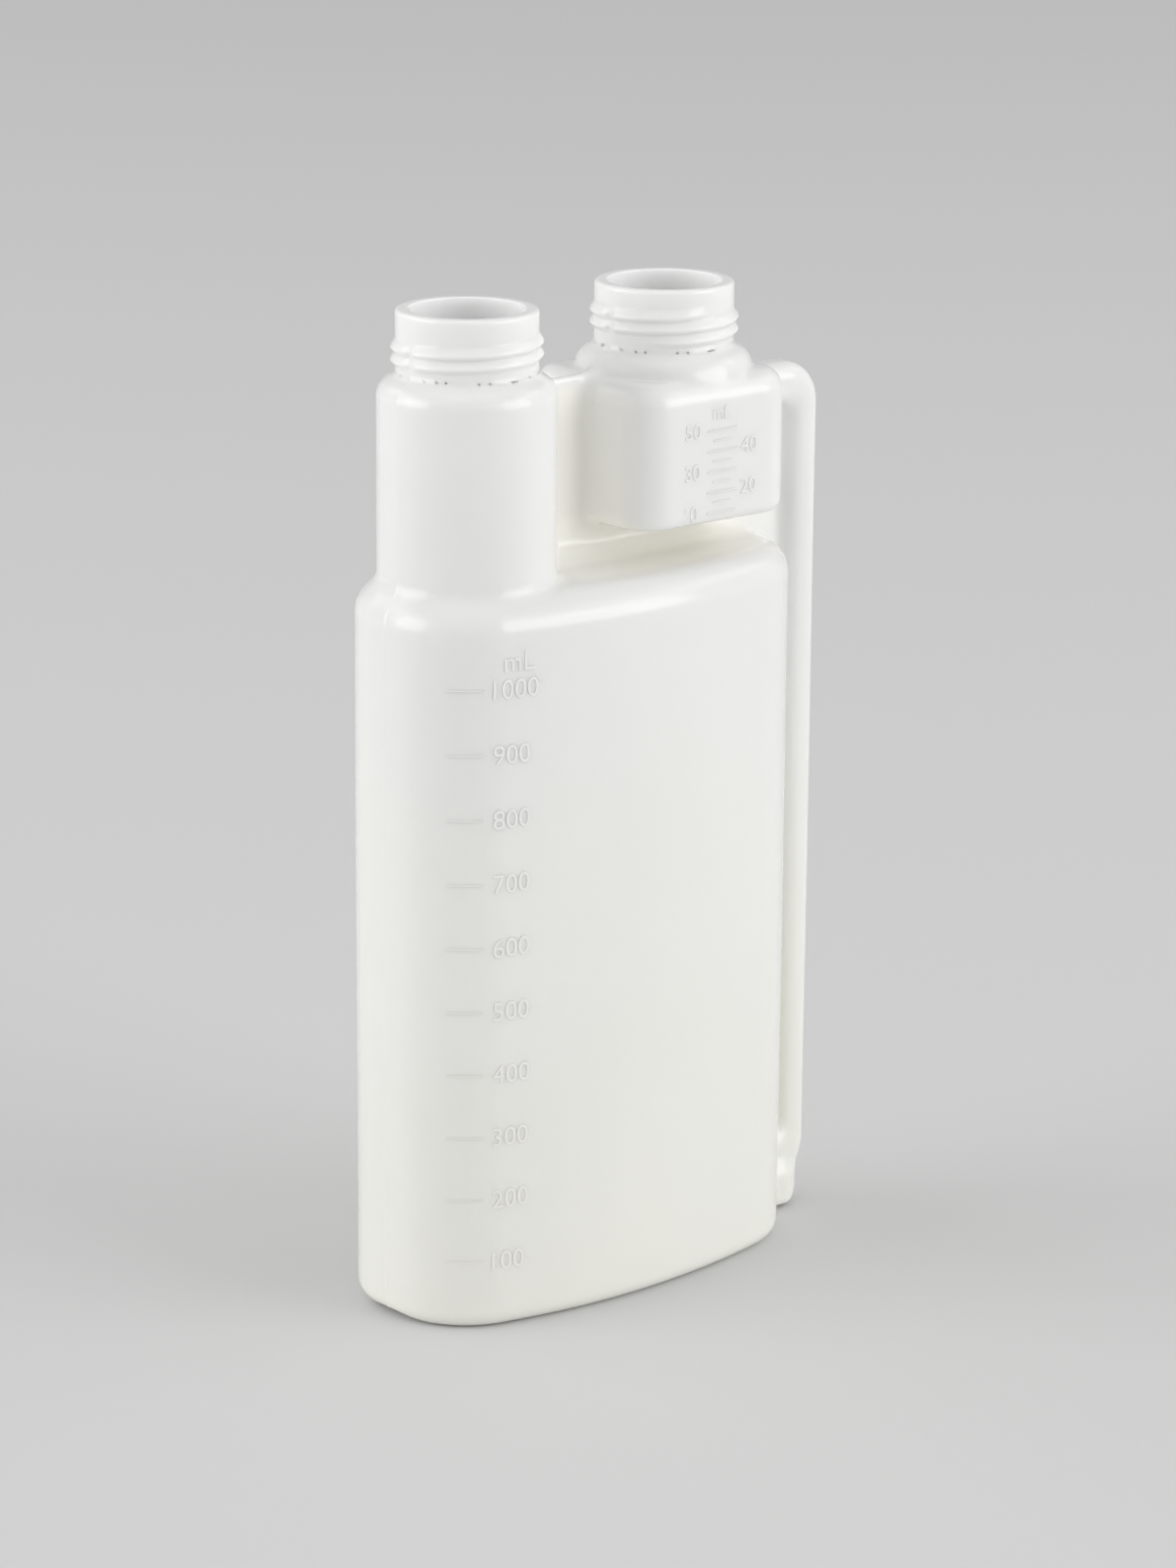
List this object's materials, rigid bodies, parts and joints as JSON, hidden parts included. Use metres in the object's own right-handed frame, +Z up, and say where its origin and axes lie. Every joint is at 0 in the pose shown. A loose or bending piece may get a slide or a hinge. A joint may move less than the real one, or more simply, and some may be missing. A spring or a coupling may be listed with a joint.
{
  "type": "two-neck bottle",
  "caption": "Blow-moulded plastic dosing bottle: slim oval body, filling neck on a round column, and a measuring chamber with its own neck, fed from the body by a side tube.",
  "frame": {"origin": "centre of the whole bottle's box, on the surface that it stands on", "axes": "+Z up, +X from the filling neck towards the side tube, -Y towards the face with the volume marks"},
  "size_m": [0.1396, 0.0622, 0.2539],
  "materials": {
    "plastic": "semi-gloss natural white, slightly translucent"
  },
  "bodies": {
    "root": {"bottle": "plastic"}
  },
  "joints": []
}
